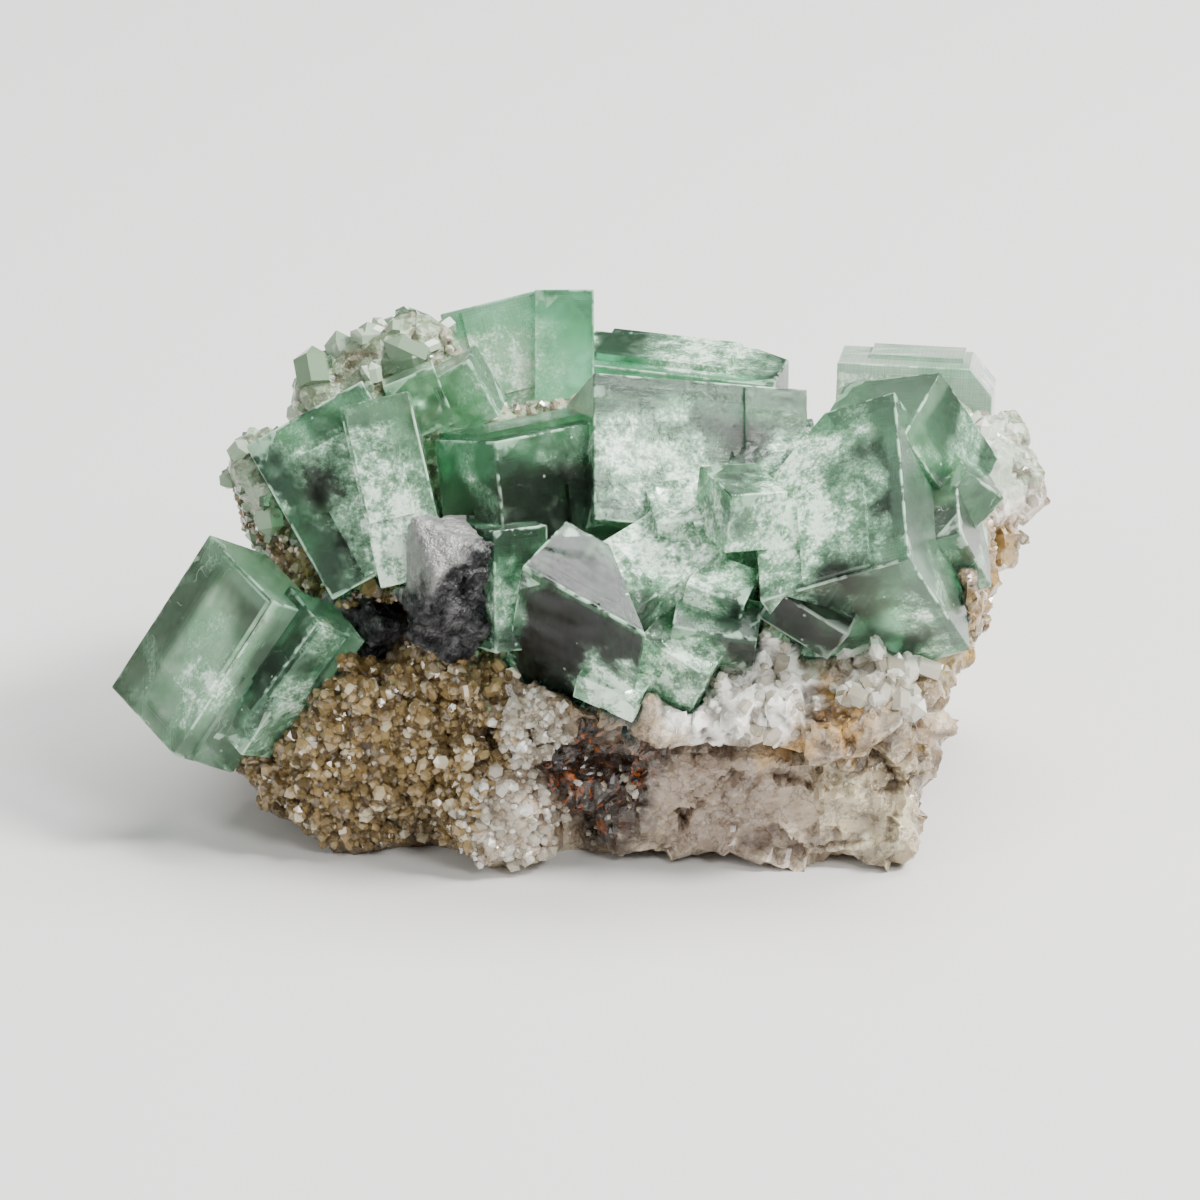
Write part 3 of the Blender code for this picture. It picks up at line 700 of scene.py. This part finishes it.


# some of these colours paint light: the crack brown also paints shadow in the fissure and shade in hollows, the
# near-black rust partly and the near-black green wholly paint shade, the shade colour paints facet shading and the
# white partly a highlight
rockColours = dict(
    base=(0.19, 0.13, 0.075), pale=(0.66, 0.55, 0.41), honey=(0.20, 0.125, 0.035), olive=(0.10, 0.07, 0.02),
    rust=(0.42, 0.10, 0.01), rustAndHollowShade=(0.018, 0.010, 0.006), stain=(0.60, 0.33, 0.055), chalk=(0.74, 0.64, 0.52),
    white=(0.99, 0.97, 0.91), weathered=(0.36, 0.22, 0.045), olivePale=(0.30, 0.24, 0.09), deep=(0.012, 0.035, 0.026),
    cream=(0.68, 0.60, 0.40), mauve=(0.40, 0.31, 0.24), grey=(0.10, 0.075, 0.055), crack=(0.07, 0.03, 0.01),
    shade=(0.42, 0.33, 0.24), frost=(0.27, 0.39, 0.25))
rockZones = [
    # share of noise, colour, then balls (x, y, z, reach in mm, strength)
    ("mauve", [(9.3, -14.7, 4.6, 6.5, 0.9), (5.5, -15.0, 7.0, 4.0, 0.8)]),
    ("cream", [(19.6, -16.0, 4.4, 5.0, 0.9), (17.0, -15.0, 8.0, 3.0, 0.6)]),
    ("chalk", [(-4.6, -17.0, 3.4, 3.6, 1.0), (-3.0, -15.8, 9.9, 2.4, 0.5)]),
    ("stain", [(13.0, -16.5, 10.4, 3.2, 1.2), (17.5, -15.5, 10.8, 3.0, 1.2), (9.2, -17.0, 11.0, 2.0, 0.6)]),
    ("weathered", [(25.5, -8.0, 13.0, 5.5, 0.9), (27.5, 0.0, 13.0, 6.5, 0.8), (26.0, 8.0, 10.0, 6.0, 0.8)]),
    ("olivePale", [(24.0, -11.5, 12.0, 2.6, 0.8), (27.5, 3.0, 8.0, 4.0, 0.7)]),
    ("frost", [(-13.2, 8.0, 24.0, 8.0, 1.3)]),
    # white quartz; the strong spot at the front right is also a painted highlight
    ("white", [(11.8, -15.5, 12.8, 4.2, 2.4), (8.6, -16.2, 12.0, 3.2, 1.8), (-20.6, 1.0, 21.0, 4.5, 0.6),
               (26.5, 4.5, 21.5, 5.5, 1.6), (19.5, -14.2, 13.8, 2.6, 0.7)]),
    # near-black hollows: rust in the rusty hollow, with painted shade in it, in the dark cavity by the left crystals
    # and in the fissure
    ("rustAndHollowShade", [(-0.8, -13.7, 7.6, 3.4, 1.5), (1.8, -13.7, 4.6, 4.0, 1.5), (4.5, -14.0, 8.0, 2.4, 0.9), (10.5, -16.5, 9.2, 1.4, 0.6),
                  (-9.5, -10.0, 14.5, 2.6, 0.9)]),
]


def rockMaterial(look, places):
    # grey-beige quartz; each zone's share is its balls times a patchy noise
    tree = Tree("quartz rock")
    rough = tree.noise(3.0, 5.0, 0.64, 0.6)
    fine = tree.noise(0.5, 3.0, 0.7)
    sway = tree.add("ShaderNodeTexNoise", {}, {"Vector": tree.millimetres, "Scale": 0.5, "Detail": 4.0})
    swayed = tree.add("ShaderNodeVectorMath", {"operation": "SCALE"}, {
        0: tree.add("ShaderNodeVectorMath", {"operation": "SUBTRACT"}, {
            0: sway.outputs["Color"], 1: (0.5, 0.5, 0.5)}).outputs[0], "Scale": 4.0}).outputs[0]
    at = tree.add("ShaderNodeVectorMath", {"operation": "ADD"}, {0: tree.millimetres, 1: swayed}).outputs[0]
    wide = tree.noise(8.0, 3.0, 0.6)
    colour = tree.mix(rough.rise(0.38, 0.58), look["base"], look["pale"])
    colour = tree.mix(wide.rise(0.46, 0.6) * 0.75, colour, look["honey"])
    colour = tree.mix(wide.rise(0.44, 0.34) * 0.6, colour, look["cream"])
    druse = tree.mix(rough.rise(0.4, 0.62), look["honey"], look["olive"])
    colour = tree.mix(zones(tree, at, [(-14.0, -10.0, 7.0, 12.0, 1.0), (-22.0, 2.0, 10.0, 9.0, 0.9)]), colour, druse)
    # the white patches, partly white quartz and partly a painted highlight, are kept clear of the grey veins and of
    # the painted facet shading
    whiteAndHighlight = zones(tree, at, places[-2][1]).clamped()
    veins = (tree.noise(2.2, 4.0, 0.62) - 0.5).size()
    for key, balls in places:
        colour = tree.mix((zones(tree, at, balls) * (0.5 + rough)).clamped(), colour, look[key])
    colour = tree.mix((veins.rise(0.035, 0.0) * 0.55 + rough.rise(0.5, 0.36) * 0.3) * (1.0 - whiteAndHighlight), colour, look["grey"])
    colour = tree.mix((tree.axis("Z") + (rough - 0.5) * 5.0).rise(18.5, 20.5) * 0.8, colour, look["frost"])
    streak = tree.noise(1.1, 3.0, 0.6, 2.0)
    redness = zones(tree, at, [(0.8, -13.7, 6.5, 4.6, 1.0), (2.2, -14.0, 9.0, 2.6, 0.9)]) * streak.rise(0.54, 0.62)
    colour = tree.mix(redness, colour, look["rust"])
    colour = tree.mix(fine.rise(0.5, 0.8) * 0.25, colour, look["white"])
    # painted shade: the low hollows between the chips darkened with the dark brown
    colour = tree.mix(tree.attribute("raised").rise(0.0, -0.45) * 0.7, colour, look["crack"])
    # the fissure darkened: partly brown stain, partly painted shadow under its ledge
    colour = tree.mix(tree.attribute("crack").clamped() * 0.9, colour, look["crack"])
    # painted shade: near-black green where the rock meets and runs under the crystals
    colour = tree.mix(tree.attribute("under"), colour, look["deep"])
    grain = tree.noise(0.22, 2.0, 0.7)
    facets = tree.cells(0.55, output="Color").socket
    slabs = tree.cells(2.1, output="Color", at=at).socket
    facet = tree.value("ShaderNodeSeparateXYZ", {}, {0: facets}, "X")
    slab = tree.value("ShaderNodeSeparateXYZ", {}, {0: slabs}, "Y")
    # painted facet shading: facets and slabs darkened at random as if each caught the light at its own angle
    colour = tree.mix(((1.0 - facet) * 0.3 + (1.0 - slab) * 0.3) * (1.0 - whiteAndHighlight), colour, look["shade"], "MULTIPLY")
    bump = tree.bump(grain, 0.05, tree.bump(fine, 0.16))
    tilt = tree.add("ShaderNodeVectorMath", {"operation": "SUBTRACT"}, {0: facets, 1: (0.5, 0.5, 0.5)}).outputs[0]
    bump = tree.add("ShaderNodeVectorMath", {"operation": "MULTIPLY_ADD"}, {
        0: tilt, 1: (0.75, 0.75, 0.75), 2: bump}).outputs[0]
    bump = tree.add("ShaderNodeVectorMath", {"operation": "NORMALIZE"}, {0: bump}).outputs[0]
    return tree.finish(tree.principled(Base_Color=colour, Roughness=facet * 0.35 + 0.15, IOR=1.54,
                                       Coat_Weight=0.6, Coat_Roughness=0.07, Normal=bump))


print("breaking the rock")
rock = rockPiece(rockMake)
rock.data.materials.append(rockMaterial(rockColours, rockZones))


# the small quartz crystals on the rock

# (middle, reach, how many, smallest and largest half width in mm, tone from 0 honey to 1 pale green)
druseBeds = dict(
    quartz_points=[
        ((-14.0, -9.0, 7.0), 12.5, 4600, 0.18, 0.46, 0.08), ((-20.6, 1.0, 20.5), 5.5, 70, 0.35, 0.9, 0.95),
        ((19.8, -14.2, 13.5), 4.0, 50, 0.4, 0.95, 0.6), ((-3.0, -15.8, 9.9), 3.0, 160, 0.18, 0.42, 0.4),
        ((-4.6, -17.0, 3.4), 4.2, 150, 0.15, 0.45, 0.5), ((12.0, -15.0, 12.5), 4.5, 70, 0.18, 0.5, 0.5),
        ((-9.0, -11.0, 14.0), 4.0, 200, 0.2, 0.45, 0.2), ((2.0, -14.0, 3.5), 3.5, 26, 0.12, 0.3, 0.3)],
    quartz_points_behind=[
        ((-22.0, 5.0, 10.0), 11.0, 2400, 0.18, 0.44, 0.12), ((-13.2, 8.0, 25.0), 6.5, 90, 0.45, 1.1, 1.0),
        ((27.0, 2.0, 11.0), 8.0, 120, 0.18, 0.45, 0.25), ((27.0, 5.0, 21.0), 4.5, 14, 0.25, 0.6, 0.5),
        ((13.0, 20.0, 9.0), 9.0, 900, 0.18, 0.45, 0.1), ((-12.0, 20.0, 12.0), 10.0, 1200, 0.2, 0.5, 0.2),
        ((31.0, 10.0, 8.0), 7.0, 400, 0.18, 0.4, 0.15), ((0.0, 16.0, 12.0), 24.0, 700, 0.2, 0.5, 0.3)])


def drusePiece(name, beds, rockMesh, seed=12):
    # a point is a six-sided prism with a pyramid on it; every one is turned to the rock's normal
    # there with some lean: vertex = place + (x side + y other + z normal) * its size
    chance = np.random.default_rng(seed)
    points, facing = coordinates(rockMesh) / mm, normals(rockMesh)
    inside = np.min([boxDistance(points, stone) for stone in allCrystals], axis=0)
    free = (points[:, 2] > 0.7) * (facing[:, 2] > -0.8) * (inside > 0.2)
    chosen, size, tone = [], [], []
    for middle, reach, count, low, high, shade in beds:
        near = smoothStep(reach, reach * 0.75, np.linalg.norm(points - middle, axis=1)) * free
        picked = chance.choice(len(points), min(count, int((near > 0).sum())), replace=False, p=near / near.sum())
        chosen.append(picked)
        size.append(low + (high - low) * chance.random(len(picked)) ** 2)
        tone.append(np.full(len(picked), shade))
    chosen, size, tone = (np.concatenate(each) for each in (chosen, size, tone))
    number = len(chosen)
    tip = facing[chosen] + chance.normal(0.0, 0.7, (number, 3))
    tip /= np.linalg.norm(tip, axis=1)[:, None]
    side = np.cross(tip, chance.normal(0.0, 1.0, (number, 3)))
    side /= np.linalg.norm(side, axis=1)[:, None]
    other = np.cross(tip, side)
    turn = np.arange(6) * math.pi / 3.0
    ring = np.stack([np.cos(turn), np.sin(turn)], 1)
    shape = np.concatenate([np.column_stack([ring, -0.9 * np.ones(6)]), np.column_stack([ring, 0.7 * np.ones(6)]),
                            [[0.15, 0.1, 1.45]]])
    around = np.arange(6)
    after = (around + 1) % 6
    walls = np.stack([around, after, after + 6, around + 6], 1)
    peaks = np.stack([around + 6, after + 6, np.full(6, 12)], 1)
    axes = np.stack([side, other, tip], 1)
    squash = chance.uniform(0.7, 1.3, (number, 1, 3))
    placed = points[chosen][:, None, :] + size[:, None, None] * np.einsum("nvk,nkd->nvd", shape * squash, axes)
    offsets = (np.arange(number) * 13)[:, None, None]
    faces = (walls[None] + offsets).reshape(-1, 4).tolist() + (peaks[None] + offsets).reshape(-1, 3).tolist()
    faces += (np.arange(5, -1, -1)[None] + offsets[:, :, 0]).tolist()
    piece = meshPiece(name, placed.reshape(-1, 3) * mm, faces)
    for key, numbers in (("tone", tone), ("shade", chance.random(number))):
        each = np.repeat(numbers, 13).astype(np.float32)
        piece.data.attributes.new(key, "FLOAT", "POINT").data.foreach_set("value", each)
    return piece


def druseMaterial():
    # every point has its own shade of honey or of pale green
    tree = Tree("honey quartz")
    shade, tone = tree.attribute("shade"), tree.attribute("tone")
    honey = tree.add("ShaderNodeValToRGB", {"stops": [
        (0.0, (0.13, 0.075, 0.014)), (0.45, (0.29, 0.18, 0.045)), (0.85, (0.46, 0.31, 0.11)),
        (1.0, (0.88, 0.80, 0.58))]}, {"Fac": shade}).outputs["Color"]
    cream = tree.add("ShaderNodeValToRGB", {"stops": [
        (0.0, (0.50, 0.43, 0.32)), (0.4, (0.74, 0.68, 0.56)), (1.0, (0.95, 0.93, 0.87))]},
        {"Fac": shade}).outputs["Color"]
    pale = tree.add("ShaderNodeValToRGB", {"stops": [
        (0.0, (0.14, 0.24, 0.14)), (0.5, (0.28, 0.42, 0.27)), (1.0, (0.62, 0.75, 0.57))]},
        {"Fac": shade}).outputs["Color"]
    colour = tree.mix(tone.rise(0.5, 1.0), tree.mix(tone.rise(0.0, 0.5), honey, cream), pale)
    pure = tree.mix(0.55, colour, (1.0, 0.97, 0.90))
    glass = tree.principled(Base_Color=pure, Transmission_Weight=1.0, IOR=1.54, Roughness=0.03)
    body = tree.principled(Base_Color=colour, IOR=1.54, Roughness=0.12, Coat_Weight=0.8, Coat_Roughness=0.02)
    both = tree.add("ShaderNodeMixShader", {}, {0: shade * 0.35 + 0.4, 1: glass, 2: body})
    return tree.finish(both.outputs[0])


print("sowing the small quartz points")
honeyQuartz = druseMaterial()
druses = [drusePiece(name, beds, rock.data) for name, beds in druseBeds.items()]
for druse in druses:
    druse.data.materials.append(honeyQuartz)


# the two lumps of lead ore

oreMake = dict(voxel=0.18, pit=1.1, pitDepth=0.34, fine=0.45, fineDepth=0.12, grain=0.03)


def orePiece(node, name, make):
    # voxelled copy of the CAD lump, its faces dented by - pitDepth * chips and a fine grain
    piece = nodeCopy(node, name)
    voxelled(piece, make["voxel"])
    points, facing = coordinates(piece.data) / mm, normals(piece.data)
    low = smoothStep(27.4, 25.8, points[:, 2] - 0.8 * points[:, 0]) if name == "ore_front" else np.ones(len(points))
    out = make["pitDepth"] * chips(points, make["pit"], 21) * (0.1 + 0.9 * low)
    out += make["fineDepth"] * chips(points, make["fine"], 25) * (0.15 + 0.85 * low)
    out += make["grain"] * layeredNoise(points, 0.5, 2, 8) * (0.3 + 0.7 * low) + 0.1
    moveTo(piece.data, (points + facing * out[:, None]) * mm)
    return piece


def oreMaterial():
    tree = Tree("lead ore")
    tarnish = tree.noise(1.2, 5.0, 0.6)
    specks = tree.noise(0.18, 3.0, 0.7)
    colour = tree.mix(tarnish.rise(0.35, 0.7), (0.022, 0.022, 0.024), (0.14, 0.14, 0.142))
    # the smooth upper-left face lighter grey: partly fresh bright ore, partly a painted reflection
    upper = (tree.axis("Z") - tree.axis("X") * 0.8 + (tarnish - 0.5) * 3.0).rise(26.4, 27.8)
    colour = tree.mix(upper * (0.35 + specks * 0.8), colour, (0.42, 0.42, 0.405))
    scales = tree.cells(0.5, output="Color").socket
    scale = tree.value("ShaderNodeSeparateXYZ", {}, {0: scales}, "X")
    colour = tree.mix(scale * 0.5, colour, (0.35, 0.35, 0.35), "MULTIPLY")
    bump = tree.bump(specks, 0.10, tree.bump(tarnish, 0.35, tree.bump(scale, 0.06)))
    return tree.finish(tree.principled(Base_Color=colour, Metallic=0.9, Roughness=tarnish * 0.3 + 0.26, Normal=bump))


print("shaping the lead ore")
lead = oreMaterial()
orePieces = {}
for node, name in (("galena_front", "ore_front"), ("galena_left", "ore_left")):
    orePieces[node] = orePiece(node, name, oreMake)
    orePieces[node].data.materials.append(lead)


# what replaces what

for node, piece in crystalPieces.items():
    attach(piece, "root")
    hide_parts(node)
    "frosted_fluorite" if node == "fluorite_far_right" else "fluorite"
for piece in (rock, *druses):
    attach(piece, "root")
    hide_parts("matrix")
for node, piece in orePieces.items():
    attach(piece, "root")
    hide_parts(node)


# floor, light and camera

studio = dict(target=(0.0015, 0.0, 0.0126), distance=0.420, elevation=22.0, lens=189.63, floor=(0.70, 0.70, 0.685),
              world=0.30)


def studioMaterial(name, colour, roughness):
    tree = Tree(name)
    return tree.finish(tree.principled(Base_Color=colour, Roughness=roughness))


print("setting up the studio")
floor = meshPiece("floor", np.array([(-1.5, -1.5, 0), (1.5, -1.5, 0), (1.5, 1.5, 0), (-1.5, 1.5, 0)]),
                  np.array([(0, 1, 2, 3)]))
floor.data.materials.append(studioMaterial("pale floor", studio["floor"], 0.6))


def lookAt(item, place, target):
    item.location = place
    item.rotation_euler = (Vector(target) - Vector(place)).to_track_quat("-Z", "Y").to_euler()
    bpy.context.scene.collection.objects.link(item)
    return item


def softbox(name, place, size, watts, colour=(1.0, 1.0, 1.0)):
    light = bpy.data.lights.new(name, "AREA")
    light.shape, light.size, light.size_y, light.energy, light.color = "RECTANGLE", *size, watts, colour
    return lookAt(bpy.data.objects.new(name, light), place, studio["target"])


softbox("key", (0.46, -0.08, 0.50), (0.15, 0.15), 9.0, (1.0, 0.98, 0.95))
softbox("top", (0.12, 0.22, 0.58), (0.42, 0.32), 5.0)
softbox("side", (0.38, 0.16, 0.44), (0.20, 0.20), 1.6)
softbox("front", (0.30, -0.42, 0.44), (0.20, 0.20), 2.2)
softbox("fill", (-0.50, -0.35, 0.30), (0.25, 0.25), 1.5)
world = bpy.data.worlds.new("soft room")
world.use_nodes = True
world.node_tree.nodes["Background"].inputs[0].default_value = (studio["world"],) * 3 + (1.0,)
bpy.context.scene.world = world

rise = math.radians(studio["elevation"])
camera = bpy.data.cameras.new("camera")
camera.lens, camera.sensor_width = studio["lens"], 36.0
away = Vector((0.0, -math.cos(rise), math.sin(rise))) * studio["distance"]
bpy.context.scene.camera = lookAt(bpy.data.objects.new("camera", camera), Vector(studio["target"]) + away,
                                  studio["target"])
